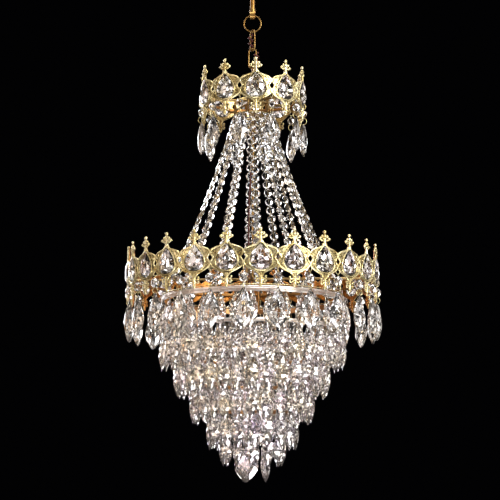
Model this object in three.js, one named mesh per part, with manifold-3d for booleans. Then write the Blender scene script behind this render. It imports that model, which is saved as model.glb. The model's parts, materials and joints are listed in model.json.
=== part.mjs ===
// A miniature crystal chandelier, in millimetres, +Z up.
// The origin is the centre of the flat top face of the hanger rod, so everything hangs below z = 0.
// An angle is measured about Z from the front, -Y, and grows towards +X.
import * as THREE from 'three';
import { mergeVertices } from 'three/addons/utils/BufferGeometryUtils.js';
import Module from 'manifold-3d';

const wasm = await Module();
wasm.setup();

// ---- Driving dimensions ----

const CLEARANCE = 0.06; // play between two wires that hang in one another

const ROD = { radius: 0.75, eyeZ: -10.5, eyeRadius: 1.15, eyeBore: 0.5, sides: 16, boreSides: 12 };
const RING = { radius: 2.45, wire: 0.2, wireSides: 5, steps: 20 };
const LINK = {
  wire: 0.225,
  width: 2.15,
  upperLength: 6.05,
  lowerLength: 5.77,
  upperTurn: 55,
  wireSides: 5,
  steps: 12,
};
const EYE = { radius: 1.2, wire: 0.3, wireSides: 6, steps: 16 };
const STEM = { radius: 0.4, bottomZ: -131, sides: 8 };
const FLEX = { radius: 0.2, besideStem: 2.3, downAngle: 165.6, downSteps: 9 };
// The flex is wound loosely round each link, from a little below its top to a little above the next piece.
const WINDING = { radius: 1.75, turns: 1.5, points: 8, steps: 12 };
const UPPER_WINDING = { below: 0.9, above: 0.3, firstAngle: 20 };
const LOWER_WINDING = { below: 1.0, above: 0.6, firstAngle: 200 };

// One cast frame of a crown: a finial, a pear-shaped opening and a hanging fleur.
// Heights are measured down from the finial tip; widths are half-widths.
const FRAME = {
  pitch: 9.15,
  thickness: 0.5,
  height: 16.2,
  overlap: 0.02,
  junctionTop: 6.3,
  junctionBottom: 10.6,
  openingTop: 4.0,
  openingBottom: 11.5,
  openingHalfWidth: 2.5,
  eyeletDepth: 9.9,
  eyeletHalf: 0.4,
};
const UPPER_CROWN = { frames: 10, firstAngle: -68.4, tipZ: -26.6, wireLengths: 30 };
const LOWER_CROWN = { frames: 24, firstAngle: -86.5, tipZ: -78.4, wireLengths: 48 };
const crownRadius = (crown) => (crown.frames * FRAME.pitch) / (2 * Math.PI);

// The wheel inside a crown. Its hoop lies behind the lower joints between frames, below the kite openings.
const SPIDER = { hoopGap: 0.9, hoopThickness: 0.5, hoopTop: 8.7, hub: 1.6, spoke: 0.4, post: 0.32 };
const SPIDER_SIDES = { hoop: 24, hub: 12, spoke: 6 };
const JEWEL = { proud: 1.0, behind: 0.7, tableShare: 0.7, play: 0.1, wire: 0.1, wireDepth: 5.6 };

const PENDANT = { ring: 0.85, wire: 0.1, wireSides: 3, steps: 8, neck: 0.16, sides: 4, point: 0.01 };
const UPPER_PENDANT = {
  bead: 1.15,
  beadDrop: 3.1,
  topDrop: 5.7,
  bellyDrop: 10.2,
  tipDrop: 15.5,
  half: 2.5,
  deep: 1.1,
};
const LOWER_PENDANT = {
  bead: 1.35,
  beadDrop: 3.5,
  topDrop: 6.1,
  bellyDrop: 11.6,
  tipDrop: 17.0,
  half: 3.15,
  deep: 1.3,
};

const STRAND = {
  count: 14,
  firstAngle: 3.5,
  bellies: 11, // each stands for a pair of neighbouring beads
  halfWidth: 1.2,
  halfDepth: 0.5,
  neck: 0.14,
  topRadius: 5,
  topZ: -40,
  sagRadius: 12.6,
  sagZ: -65,
  bottomRadius: 25.5,
  bottomZ: -92.4,
  wire: 0.15,
};

// The broad polished hoop.
const BAND = { radius: 25.5, thickness: 0.5, topZ: -92.8, bottomZ: -94.3, sides: 40 };
const TIER_SET_OUT = 1.0; // how far a tier's wire lies outside its hoop
const TIER = { wire: 0.15, hoopHeight: 1.0, hoopThickness: 0.4 };
const TIERS = [
  { name: 'a', count: 36, radius: 26.4, hoopZ: -93.5, length: 11.0, half: 1.9, deep: 0.8, belly: 5.0 },
  { name: 'b', count: 38, radius: 25.2, hoopZ: -101.8, length: 11.4, half: 1.8, deep: 0.8, belly: 5.1 },
  { name: 'c', count: 32, radius: 21.0, hoopZ: -109.5, length: 11.4, half: 1.8, deep: 0.8, belly: 4.9 },
  { name: 'd', count: 26, radius: 16.5, hoopZ: -117.0, length: 11.3, half: 1.75, deep: 0.8, belly: 4.5 },
  { name: 'e', count: 18, radius: 12.0, hoopZ: -124.3, length: 11.2, half: 1.8, deep: 0.8, belly: 4.1 },
  { name: 'f', count: 12, radius: 8.3, hoopZ: -130.3, length: 9.9, half: 1.75, deep: 0.8, belly: 3.2 },
];
const BASKET = {
  ribs: 4,
  sides: 24,
  firstRib: -49,
  ribWire: 0.25,
  bossRadius: 1.0,
  bossHeight: 1.6,
  bossSides: 12,
};
const DROP_SIDES = 4;

const DROPS = {
  count: 3,
  firstAngle: -28,
  radius: 3.6,
  topZ: -133.6,
  length: 10.9,
  half: 3.75,
  deep: 1.35,
  belly: 5.0,
};
const DROP_EYE = { radius: 0.75, wire: 0.2, wireSides: 4, steps: 10 };

const LAMP = { angle: 206, radius: 3.4, arm: 0.35, armSides: 6, armZ: -94.6, armInset: 0.1 };
const COLLAR = { thickness: 0.5, height: 1.2, sides: 10 };
const HOLDER = { radius: 1.25, wall: 0.4, height: 3.2, middleZ: -96.0, cap: 0.5, capInset: 0.1, sides: 12 };
const BULB = { radius: 0.78, straight: 3.4, seat: 0.8, drop: 2.2, capSteps: 3, sides: 10 };

// ---- Materials ----

const gilt = new THREE.MeshStandardMaterial({ color: 0xd7c378, roughness: 0.3, metalness: 1 });
const rodBrass = new THREE.MeshStandardMaterial({ color: 0xd29b3c, roughness: 0.25, metalness: 1 });
const polished = new THREE.MeshStandardMaterial({ color: 0xe6dcd2, roughness: 0.15, metalness: 1 });
const crystal = new THREE.MeshStandardMaterial({ color: 0xeef0f2, roughness: 0.03, metalness: 0 });
const insulation = new THREE.MeshStandardMaterial({ color: 0x6b2f33, roughness: 0.5, metalness: 0 });
const bakelite = new THREE.MeshStandardMaterial({ color: 0x8a5a2a, roughness: 0.45, metalness: 0 });
const lampGlass = new THREE.MeshStandardMaterial({ color: 0xffe7c0, roughness: 0.08, metalness: 0 });

// ---- Solids and placing ----

const radians = THREE.MathUtils.degToRad;
const UP = new THREE.Vector3(0, 0, 1);
const OUT = new THREE.Vector3(0, 1, 0);
const WELD = 1e-4;

// Welds a geometry's vertices, drops collapsed triangles and turns every face outwards.
function weld(geometry) {
  const bare = geometry.clone();
  bare.deleteAttribute('normal');
  bare.deleteAttribute('uv');
  const merged = mergeVertices(bare, WELD);
  const position = merged.attributes.position;
  const corners = [0, 1, 2].map(() => new THREE.Vector3());
  const kept = [];
  let volume = 0;
  for (let i = 0; i < merged.index.count; i += 3) {
    const face = [0, 1, 2].map((k) => merged.index.getX(i + k));
    if (new Set(face).size < 3) continue;
    face.forEach((vertex, k) => corners[k].fromBufferAttribute(position, vertex));
    volume += corners[0].dot(corners[1].clone().cross(corners[2]));
    kept.push(face);
  }
  const outward = volume < 0 ? kept.map(([a, b, c]) => [a, c, b]) : kept;
  merged.setIndex(outward.flat());
  return merged;
}

function solid(geometry) {
  const welded = weld(geometry);
  const vertProperties = new Float32Array(welded.attributes.position.array);
  const triVerts = new Uint32Array(welded.index.array);
  return new wasm.Manifold(new wasm.Mesh({ numProp: 3, vertProperties, triVerts }));
}

function surface(body) {
  const mesh = body.getMesh();
  const geometry = new THREE.BufferGeometry();
  geometry.setAttribute('position', new THREE.Float32BufferAttribute(Array.from(mesh.vertProperties), 3));
  geometry.setIndex(Array.from(mesh.triVerts));
  geometry.computeVertexNormals();
  return geometry;
}

function join(geometries) {
  return surface(geometries.map(solid).reduce((whole, part) => whole.add(part)));
}

const atAngle = (geometry, degrees) => geometry.clone().rotateZ(radians(degrees));

const evenAngles = (count, first) => Array.from({ length: count }, (_, i) => first + (i * 360) / count);

// Moves every point of a geometry by a function that changes its vector.
function reshape(geometry, change) {
  const position = geometry.attributes.position;
  const point = new THREE.Vector3();
  for (let i = 0; i < position.count; i += 1) {
    change(point.fromBufferAttribute(position, i));
    position.setXYZ(i, point.x, point.y, point.z);
  }
  return geometry;
}

// Bends a flat piece, drawn in XY with its thickness along Z, round an upright cylinder, front at -Y.
function wrap(geometry, radius) {
  return reshape(geometry, (point) => {
    const angle = point.x / radius;
    const reach = radius + point.z;
    point.set(reach * Math.sin(angle), -reach * Math.cos(angle), point.y);
  });
}

// A hoop of rectangular section about Z.
function hoop(outer, thickness, topZ, bottomZ, segments) {
  const inner = outer - thickness;
  const corners = [
    [inner, bottomZ],
    [outer, bottomZ],
    [outer, topZ],
    [inner, topZ],
    [inner, bottomZ],
  ];
  const profile = corners.map(([r, z]) => new THREE.Vector2(r, z));
  return new THREE.LatheGeometry(profile, segments).rotateX(Math.PI / 2);
}

// A round of square wire about Z, made of straight lengths, with a length centred on the first angle.
// The radius is that of the middle of a length.
function wireRing(radius, wire, z, lengths, firstAngle) {
  const halfLength = Math.PI / lengths;
  const outer = (radius + wire) / Math.cos(halfLength);
  const thickness = (2 * wire) / Math.cos(halfLength);
  return atAngle(hoop(outer, thickness, z + wire, z - wire, lengths), firstAngle + 180 / lengths);
}

// A round bar between two points.
function bar(from, to, radius, sides) {
  const along = to.clone().sub(from);
  const turn = new THREE.Quaternion().setFromUnitVectors(OUT, along.clone().normalize());
  const middle = from.clone().add(to).multiplyScalar(0.5);
  const geometry = new THREE.CylinderGeometry(radius, radius, along.length(), sides);
  return geometry.applyQuaternion(turn).translate(middle.x, middle.y, middle.z);
}

// A point at a radius and height on the front, before it is turned to its angle.
const front = (radius, z) => new THREE.Vector3(0, -radius, z);

// A threaded body: stations from end to end, each with a centre, a half-width along X and a half-depth.
// The depth lies square to the line of the stations, in the YZ plane.
function threaded(stations, sides) {
  const spans = stations.length - 1;
  const geometry = new THREE.CylinderGeometry(1, 1, 1, sides, spans);
  return reshape(geometry, (point) => {
    const i = Math.round((point.y + 0.5) * spans);
    const { centre, half, deep, normal = OUT } = stations[i];
    const { x, z } = point;
    point.copy(centre).addScaledVector(normal, -z * deep);
    point.x += x * half;
  });
}

// A faceted drop with a point at each end, flat in depth, hung from its top point on the front.
function spear(radius, topZ, drop) {
  const profile = [
    new THREE.Vector2(0, -drop.length),
    new THREE.Vector2(drop.half, drop.belly - drop.length),
    new THREE.Vector2(0, 0),
  ];
  const geometry = new THREE.LatheGeometry(profile, DROP_SIDES).rotateX(Math.PI / 2);
  return geometry.scale(1, drop.deep / drop.half, 1).translate(0, -radius, topZ);
}

// ---- Hanger and chain ----

const ringCentreZ = ROD.eyeZ - RING.radius;
const ringBottomZ = ringCentreZ - RING.radius;
const upperLinkTopZ = ringBottomZ + RING.wire + LINK.wire + CLEARANCE;
const upperLinkBottomZ = upperLinkTopZ - LINK.upperLength;
const lowerLinkTopZ = upperLinkBottomZ + 2 * LINK.wire + CLEARANCE;
const lowerLinkBottomZ = lowerLinkTopZ - LINK.lowerLength;
const crownEyeTopZ = lowerLinkBottomZ + LINK.wire + EYE.wire + CLEARANCE;
const crownEyeZ = crownEyeTopZ - EYE.radius;

function hangerRod() {
  const rod = bar(new THREE.Vector3(0, 0, ROD.eyeZ), new THREE.Vector3(0, 0, 0), ROD.radius, ROD.sides);
  const across = new THREE.Vector3(ROD.radius, 0, 0);
  const centre = new THREE.Vector3(0, 0, ROD.eyeZ);
  const knuckle = bar(centre.clone().sub(across), centre.clone().add(across), ROD.eyeRadius, ROD.sides);
  const reach = across.clone().multiplyScalar(2);
  const bore = bar(centre.clone().sub(reach), centre.clone().add(reach), ROD.eyeBore, ROD.boreSides);
  return surface(solid(rod).add(solid(knuckle)).subtract(solid(bore)));
}

function hangerRing() {
  const ring = new THREE.TorusGeometry(RING.radius, RING.wire, RING.wireSides, RING.steps);
  return ring.rotateX(Math.PI / 2).translate(0, 0, ringCentreZ);
}

// An oval link: a ring whose two halves are drawn apart, standing upright in the XZ plane.
function chainLink(topZ, length, turn) {
  const half = LINK.width / 2;
  const stretch = length / 2 - half;
  const ring = new THREE.TorusGeometry(half, LINK.wire, LINK.wireSides, LINK.steps);
  reshape(ring, (point) => {
    if (Math.abs(point.y) > WELD) point.y += Math.sign(point.y) * stretch;
  });
  return ring.rotateX(Math.PI / 2).rotateZ(radians(turn)).translate(0, 0, topZ - length / 2);
}

// A stretch of flex wound round a link.
function windingFlex(topZ, bottomZ, firstAngle) {
  const points = Array.from({ length: WINDING.points + 1 }, (_, i) => {
    const share = i / WINDING.points;
    const angle = radians(firstAngle + share * WINDING.turns * 360);
    return front(WINDING.radius, topZ + share * (bottomZ - topZ)).applyAxisAngle(UP, angle);
  });
  return cable(points, WINDING.steps);
}

function cable(points, steps) {
  const section = new THREE.Shape().absarc(0, 0, FLEX.radius, 0, 2 * Math.PI);
  const extrudePath = new THREE.CatmullRomCurve3(points);
  return new THREE.ExtrudeGeometry(section, { steps, extrudePath, curveSegments: 2, bevelEnabled: false });
}

// ---- Stem ----

// The wire ring used for both halves of the bottom hinge.
function dropEye() {
  return new THREE.TorusGeometry(DROP_EYE.radius, DROP_EYE.wire, DROP_EYE.wireSides, DROP_EYE.steps);
}

function centralStem() {
  const eye = new THREE.TorusGeometry(EYE.radius, EYE.wire, EYE.wireSides, EYE.steps);
  eye.rotateY(Math.PI / 2).translate(0, 0, crownEyeZ);
  const stemTopZ = crownEyeZ - EYE.radius;
  const foot = new THREE.Vector3(0, 0, STEM.bottomZ);
  const stem = bar(foot, new THREE.Vector3(0, 0, stemTopZ), STEM.radius, STEM.sides);
  const hook = dropEye().rotateX(Math.PI / 2).translate(0, 0, STEM.bottomZ - DROP_EYE.radius);
  return join([eye, stem, hook]);
}

// ---- Crowns ----

const openingHeight = FRAME.openingBottom - FRAME.openingTop;
const openingMiddle = (FRAME.openingTop + FRAME.openingBottom) / 2;
const PEAR_FULLNESS = 1.3; // brings the widest point of the curve below to a half-width of one
const PEAR_SIDES = 6;

// A point of the pear outline about its middle; a share of 0 is the tip and 0.5 the round end.
function pearPoint(share) {
  const angle = share * 2 * Math.PI;
  const x = PEAR_FULLNESS * FRAME.openingHalfWidth * Math.sin(angle) * Math.abs(Math.sin(angle / 2));
  return new THREE.Vector2(x, (openingHeight / 2) * Math.cos(angle));
}

// The edge of one frame's upper side, from its left junction to its right one.
const FRAME_TOP = [
  [-0.5, 3.5],
  [-1.8, 2.4],
  [0, 0],
  [1.8, 2.4],
  [0.5, 3.5],
  [FRAME.pitch / 2, FRAME.junctionTop],
];
// The edge of its lower side, from its right junction to its left one.
const FRAME_BOTTOM = [
  [0.7, 12.6],
  [1.5, 14.5],
  [0, FRAME.height],
  [-1.5, 14.5],
  [-0.7, 12.6],
  [-FRAME.pitch / 2, FRAME.junctionBottom],
];
// The two openings on the line between neighbouring frames: a kite, and the eyelet that carries a pendant.
const KITE = [
  [0, 7.1],
  [-0.7, 8.0],
  [0, 8.9],
  [0.7, 8.0],
];
const EYELET = [
  [0, FRAME.eyeletDepth - FRAME.eyeletHalf],
  [-FRAME.eyeletHalf, FRAME.eyeletDepth],
  [0, FRAME.eyeletDepth + FRAME.eyeletHalf],
  [FRAME.eyeletHalf, FRAME.eyeletDepth],
];

const shifted = (points, along) => points.map(([x, depth]) => new THREE.Vector2(x + along, -depth));

// A run of frames cast in one strip and bent to the crown's radius. Its ends run on by a small overlap.
function frameStrip(frames, radius) {
  const starts = Array.from({ length: frames }, (_, i) => i * FRAME.pitch);
  const endX = (frames - 0.5) * FRAME.pitch + FRAME.overlap;
  const startX = -FRAME.pitch / 2 - FRAME.overlap;
  const outline = [
    new THREE.Vector2(startX, -FRAME.junctionTop),
    ...starts.flatMap((x) => shifted(FRAME_TOP, x)),
    new THREE.Vector2(endX, -FRAME.junctionTop),
    new THREE.Vector2(endX, -FRAME.junctionBottom),
    ...starts.reverse().flatMap((x) => [
      new THREE.Vector2(x + FRAME.pitch / 2, -FRAME.junctionBottom),
      ...shifted(FRAME_BOTTOM.slice(0, -1), x),
    ]),
    new THREE.Vector2(startX, -FRAME.junctionBottom),
  ];
  const shape = new THREE.Shape(outline.reverse());
  starts.forEach((x) => {
    const opening = Array.from({ length: PEAR_SIDES }, (_, i) => pearPoint(i / PEAR_SIDES));
    shape.holes.push(new THREE.Path(opening.map((p) => new THREE.Vector2(p.x + x, p.y - openingMiddle))));
  });
  starts.filter((x) => x > 0).forEach((x) => {
    shape.holes.push(new THREE.Path(shifted(KITE, x - FRAME.pitch / 2)));
    shape.holes.push(new THREE.Path(shifted(EYELET, x - FRAME.pitch / 2)));
  });
  const plate = new THREE.ExtrudeGeometry(shape, { depth: FRAME.thickness, bevelEnabled: false });
  return wrap(plate.translate(0, 0, -FRAME.thickness / 2), radius);
}

// Cuts one opening through the strip's wall at the front.
function punch(points, radius) {
  const depth = 4 * FRAME.thickness;
  const plug = new THREE.ExtrudeGeometry(new THREE.Shape(shifted(points, 0)), { depth, bevelEnabled: false });
  return wrap(plug.translate(0, 0, -depth / 2), radius);
}

// Two half strips soldered end to end into a ring, with the openings on the two joints cut afterwards.
function crownGallery(crown) {
  const radius = crownRadius(crown);
  const half = frameStrip(crown.frames / 2, radius);
  const seam = crown.firstAngle - 180 / crown.frames;
  const strips = [0, 180].map((turn) => solid(atAngle(half, crown.firstAngle + turn)));
  const plugs = [KITE, EYELET].map((points) => punch(points, radius));
  const punches = [0, 180].flatMap((turn) => plugs.map((plug) => atAngle(plug, seam + turn)));
  const ring = punches.reduce((whole, plug) => whole.subtract(solid(plug)), strips[0].add(strips[1]));
  return surface(ring).translate(0, 0, crown.tipZ);
}

// A pear stone: full width behind, drawn in to a flat table in front.
function jewel(radius) {
  const stone = new THREE.CylinderGeometry(JEWEL.tableShare, 1, 1, PEAR_SIDES);
  reshape(stone, (point) => {
    const reach = Math.hypot(point.x, point.z);
    const share = reach < WELD ? 0 : Math.atan2(point.x, point.z) / (2 * Math.PI);
    const outline = pearPoint(Math.round(share * PEAR_SIDES) / PEAR_SIDES + 1);
    const fit = reach * (1 - JEWEL.play / FRAME.openingHalfWidth);
    const forward = point.y > 0 ? JEWEL.proud : -JEWEL.behind;
    point.set(outline.x * fit, outline.y * fit - openingMiddle, forward);
  });
  return wrap(stone, radius);
}

function crownJewels(crown) {
  const radius = crownRadius(crown);
  const stone = jewel(radius).translate(0, 0, crown.tipZ);
  const stones = evenAngles(crown.frames, crown.firstAngle).map((angle) => atAngle(stone, angle));
  const wireZ = crown.tipZ - JEWEL.wireDepth;
  const wire = wireRing(radius - JEWEL.behind, JEWEL.wire, wireZ, crown.wireLengths, crown.firstAngle);
  return join([wire, ...stones]);
}

// Angles half way between frames, where neighbouring frames meet and the pendants hang.
const gapAngles = (crown) => evenAngles(crown.frames, crown.firstAngle - 180 / crown.frames);

// A hub, spokes and hoop soldered together; each spoke carries a post that hangs down from it.
function spider(crown, spokeAngles, postRadius, postBottomZ) {
  const outer = crownRadius(crown) - SPIDER.hoopGap;
  const topZ = crown.tipZ - SPIDER.hoopTop;
  const spokeZ = topZ - SPIDER.spoke;
  const bottomZ = spokeZ - SPIDER.spoke;
  const hub = hoop(SPIDER.hub, SPIDER.hub - STEM.radius - CLEARANCE, topZ, bottomZ, SPIDER_SIDES.hub);
  const rim = hoop(outer, SPIDER.hoopThickness, topZ, bottomZ, SPIDER_SIDES.hoop);
  const inHub = front(SPIDER.hub - SPIDER.spoke, spokeZ);
  const inRim = front(outer - SPIDER.hoopThickness / 2, spokeZ);
  const arm = bar(inHub, inRim, SPIDER.spoke, SPIDER_SIDES.spoke);
  const postTop = front(postRadius, spokeZ);
  const post = bar(postTop, front(postRadius, postBottomZ), SPIDER.post, SPIDER_SIDES.spoke);
  return join([hub, rim, ...spokeAngles.flatMap((angle) => [atAngle(arm, angle), atAngle(post, angle)])]);
}

// ---- Hinged pendants: a jump ring, a bead and an almond drop ----

function pendantRingTopZ(crown) {
  return crown.tipZ - FRAME.eyeletDepth;
}

function pendant(crown, size) {
  const radius = crownRadius(crown);
  const topZ = pendantRingTopZ(crown);
  const ring = new THREE.TorusGeometry(PENDANT.ring, PENDANT.wire, PENDANT.wireSides, PENDANT.steps);
  ring.rotateY(Math.PI / 2).translate(0, -radius, topZ - PENDANT.ring);
  const station = (drop, half, deep) => ({ centre: front(radius, topZ - drop), half, deep });
  const { neck, point } = PENDANT;
  const string = [
    station(size.tipDrop, point, point),
    station(size.bellyDrop, size.half, size.deep),
    station(size.topDrop, neck, neck),
    station(size.beadDrop, size.bead, size.bead),
    station(2 * PENDANT.ring, neck, neck),
  ];
  return join([ring, threaded(string, PENDANT.sides)]);
}

// ---- Bead strands ----

// The strands sag inwards between the upper crown and the broad hoop.
const strandCurve = new THREE.QuadraticBezierCurve3(
  front(STRAND.topRadius, STRAND.topZ),
  front(STRAND.sagRadius, STRAND.sagZ),
  front(STRAND.bottomRadius, STRAND.bottomZ),
);

function beadStrand() {
  const steps = STRAND.bellies * 2;
  const stations = [];
  for (let i = steps; i >= 0; i -= 1) {
    const tangent = strandCurve.getTangentAt(i / steps);
    const belly = i % 2 === 1;
    stations.push({
      centre: strandCurve.getPointAt(i / steps),
      normal: new THREE.Vector3(0, -tangent.z, tangent.y),
      half: belly ? STRAND.halfWidth : STRAND.neck,
      deep: belly ? STRAND.halfDepth : STRAND.neck,
    });
  }
  return threaded(stations, 4);
}

function beadStrands() {
  const strand = beadStrand();
  const strands = evenAngles(STRAND.count, STRAND.firstAngle).map((angle) => atAngle(strand, angle));
  const topRing = wireRing(STRAND.topRadius, STRAND.wire, STRAND.topZ, STRAND.count, STRAND.firstAngle);
  const lengths = 3 * STRAND.count;
  const bottomRing = wireRing(STRAND.bottomRadius, STRAND.wire, STRAND.bottomZ, lengths, STRAND.firstAngle);
  return join([topRing, bottomRing, ...strands]);
}

// ---- Crystal basket ----

function broadHoop() {
  const outer = BAND.radius + BAND.thickness / 2;
  return hoop(outer, BAND.thickness, BAND.topZ, BAND.bottomZ, BAND.sides);
}

const tierHoopRadius = (tier) => tier.radius - TIER_SET_OUT;

function basketFrame() {
  const lower = TIERS.slice(1);
  const hoops = lower.map((tier) => {
    const outer = tierHoopRadius(tier) + TIER.hoopThickness / 2;
    const half = TIER.hoopHeight / 2;
    return hoop(outer, TIER.hoopThickness, tier.hoopZ + half, tier.hoopZ - half, BASKET.sides);
  });
  const bossBottomZ = STEM.bottomZ + BASKET.bossHeight;
  const bossThickness = BASKET.bossRadius - STEM.radius - CLEARANCE;
  const bossTopZ = bossBottomZ + BASKET.bossHeight;
  const boss = hoop(BASKET.bossRadius, bossThickness, bossTopZ, bossBottomZ, BASKET.bossSides);
  const start = front(BAND.radius - BAND.thickness - BASKET.ribWire, BAND.bottomZ + BASKET.ribWire);
  const turns = lower.map((tier) => front(tierHoopRadius(tier) - TIER.hoopThickness / 2, tier.hoopZ));
  const end = front(BASKET.bossRadius - BASKET.ribWire, (bossTopZ + bossBottomZ) / 2);
  const wire = { half: BASKET.ribWire, deep: BASKET.ribWire };
  const rib = threaded([end, ...turns.reverse(), start].map((centre) => ({ centre, ...wire })), 4);
  const ribs = evenAngles(BASKET.ribs, BASKET.firstRib).map((angle) => atAngle(rib, angle));
  return join([boss, ...hoops, ...ribs]);
}

function tierCrystals(tier) {
  const drop = spear(tier.radius, tier.hoopZ, tier);
  const drops = evenAngles(tier.count, 0).map((angle) => atAngle(drop, angle));
  return join([wireRing(tier.radius, TIER.wire, tier.hoopZ, tier.count, 0), ...drops]);
}

// ---- Bottom drops ----

const dropHookZ = STEM.bottomZ - 2 * DROP_EYE.radius;

function bottomDrops() {
  const pivotZ = dropHookZ + 2 * DROP_EYE.wire + CLEARANCE;
  const eye = dropEye().rotateY(Math.PI / 2).translate(0, 0, pivotZ - DROP_EYE.radius);
  const hub = new THREE.Vector3(0, 0, pivotZ - 2 * DROP_EYE.radius);
  const arm = bar(hub, front(DROPS.radius, DROPS.topZ - DROP_EYE.wire), DROP_EYE.wire, 4);
  const drop = spear(DROPS.radius, DROPS.topZ, DROPS);
  const angles = evenAngles(DROPS.count, DROPS.firstAngle);
  return join([eye, ...angles.flatMap((angle) => [atAngle(arm, angle), atAngle(drop, angle)])]);
}

// ---- Lamp ----

function lampHolder() {
  const collarOuter = STEM.radius + CLEARANCE + COLLAR.thickness;
  const collarTopZ = LAMP.armZ + COLLAR.height / 2;
  const collar = hoop(collarOuter, COLLAR.thickness, collarTopZ, collarTopZ - COLLAR.height, COLLAR.sides);
  const armStart = front(collarOuter - LAMP.armInset, LAMP.armZ);
  const arm = bar(armStart, front(LAMP.radius, LAMP.armZ), LAMP.arm, LAMP.armSides);
  const topZ = HOLDER.middleZ + HOLDER.height / 2;
  const cup = hoop(HOLDER.radius, HOLDER.wall, topZ, topZ - HOLDER.height, HOLDER.sides);
  cup.translate(0, -LAMP.radius, 0);
  const cap = new THREE.CylinderGeometry(HOLDER.radius, HOLDER.radius, HOLDER.cap, HOLDER.sides);
  cap.rotateX(Math.PI / 2).translate(0, -LAMP.radius, topZ - HOLDER.capInset);
  return atAngle(join([collar, arm, cup, cap]), LAMP.angle);
}

function lampBulb() {
  const middleZ = HOLDER.middleZ + BULB.seat - BULB.drop;
  const glass = new THREE.CapsuleGeometry(BULB.radius, BULB.straight, BULB.capSteps, BULB.sides);
  return atAngle(glass.rotateX(Math.PI / 2).translate(0, -LAMP.radius, middleZ), LAMP.angle);
}

// The flex runs down beside the stem, between the spokes, from the chain to the lamp's arm.
function supplyFlex() {
  const stops = [
    [FLEX.downAngle, crownEyeZ - EYE.radius],
    [FLEX.downAngle, UPPER_CROWN.tipZ - FRAME.height],
    [LAMP.angle, (STRAND.topZ + STRAND.bottomZ) / 2],
    [LAMP.angle, LAMP.armZ + 2 * FLEX.radius + LAMP.arm],
  ];
  const points = stops.map(([angle, z]) => front(FLEX.besideStem, z).applyAxisAngle(UP, radians(angle)));
  return cable(points, FLEX.downSteps);
}

// ---- Assembly ----

const group = new THREE.Group();

function add(name, material, geometry) {
  const mesh = new THREE.Mesh(geometry, material);
  mesh.name = name;
  group.add(mesh);
}

add('hanger_rod', rodBrass, hangerRod());
add('hanger_ring', rodBrass, hangerRing());
add('upper_chain_link', rodBrass, chainLink(upperLinkTopZ, LINK.upperLength, LINK.upperTurn));
add('lower_chain_link', rodBrass, chainLink(lowerLinkTopZ, LINK.lowerLength, 0));

function addWinding(name, linkTopZ, nextTopZ, { below, above, firstAngle }) {
  add(name, insulation, windingFlex(linkTopZ - below, nextTopZ + above, firstAngle));
}
addWinding('flex_on_upper_link', upperLinkTopZ, lowerLinkTopZ, UPPER_WINDING);
addWinding('flex_on_lower_link', lowerLinkTopZ, crownEyeTopZ, LOWER_WINDING);
add('supply_flex', insulation, supplyFlex());
add('central_stem', gilt, centralStem());

const upperSpokes = gapAngles(UPPER_CROWN).filter((_, i) => i % 2 === 0);
const lowerSpokes = gapAngles(LOWER_CROWN).filter((_, i) => i % 6 === 0);
const onStrandRing = STRAND.topZ + STRAND.wire + CLEARANCE;
add('upper_spider', gilt, spider(UPPER_CROWN, upperSpokes, STRAND.topRadius, onStrandRing));
add('upper_crown_gallery', gilt, crownGallery(UPPER_CROWN));
add('upper_crown_jewels', crystal, crownJewels(UPPER_CROWN));
add('bead_strands', crystal, beadStrands());
const insideBand = BAND.radius - BAND.thickness / 2 - 2 * SPIDER.spoke;
add('lower_spider', gilt, spider(LOWER_CROWN, lowerSpokes, insideBand, BAND.bottomZ));
add('lower_crown_gallery', gilt, crownGallery(LOWER_CROWN));
add('lower_crown_jewels', crystal, crownJewels(LOWER_CROWN));
add('cascade_top_hoop', polished, broadHoop());
add('basket_frame', polished, basketFrame());
TIERS.forEach((tier) => add(`crystal_tier_${tier.name}`, crystal, tierCrystals(tier)));
add('bottom_drops', crystal, bottomDrops());
add('lamp_holder', bakelite, lampHolder());
add('lamp_bulb', lampGlass, lampBulb());

function addPendants(prefix, crown, size) {
  const hanging = pendant(crown, size);
  gapAngles(crown).forEach((angle, i) => {
    const number = String(i + 1).padStart(2, '0');
    add(`${prefix}_${number}`, crystal, atAngle(hanging, angle));
  });
}
addPendants('upper_pendant', UPPER_CROWN, UPPER_PENDANT);
addPendants('lower_pendant', LOWER_CROWN, LOWER_PENDANT);

export default group;
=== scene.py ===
import json
import math
import random

import bmesh
import bpy
import numpy as np
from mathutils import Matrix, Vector

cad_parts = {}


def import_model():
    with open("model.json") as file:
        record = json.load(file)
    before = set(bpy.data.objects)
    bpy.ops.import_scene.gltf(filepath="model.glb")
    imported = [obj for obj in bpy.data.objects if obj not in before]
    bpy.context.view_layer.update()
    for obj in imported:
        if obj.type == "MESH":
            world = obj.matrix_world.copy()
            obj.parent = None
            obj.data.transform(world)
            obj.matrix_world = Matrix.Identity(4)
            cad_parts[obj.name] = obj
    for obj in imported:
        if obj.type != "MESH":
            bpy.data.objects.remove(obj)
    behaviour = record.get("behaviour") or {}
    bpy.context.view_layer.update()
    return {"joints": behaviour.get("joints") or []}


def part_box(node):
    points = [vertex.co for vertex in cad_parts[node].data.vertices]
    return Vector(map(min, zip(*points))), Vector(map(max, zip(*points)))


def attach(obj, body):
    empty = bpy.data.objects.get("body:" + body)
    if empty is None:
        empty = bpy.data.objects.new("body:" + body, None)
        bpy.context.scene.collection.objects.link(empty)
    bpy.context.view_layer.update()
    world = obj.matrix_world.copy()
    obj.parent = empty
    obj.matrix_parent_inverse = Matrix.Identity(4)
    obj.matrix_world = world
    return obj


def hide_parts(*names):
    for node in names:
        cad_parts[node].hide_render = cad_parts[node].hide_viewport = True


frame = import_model()

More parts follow.
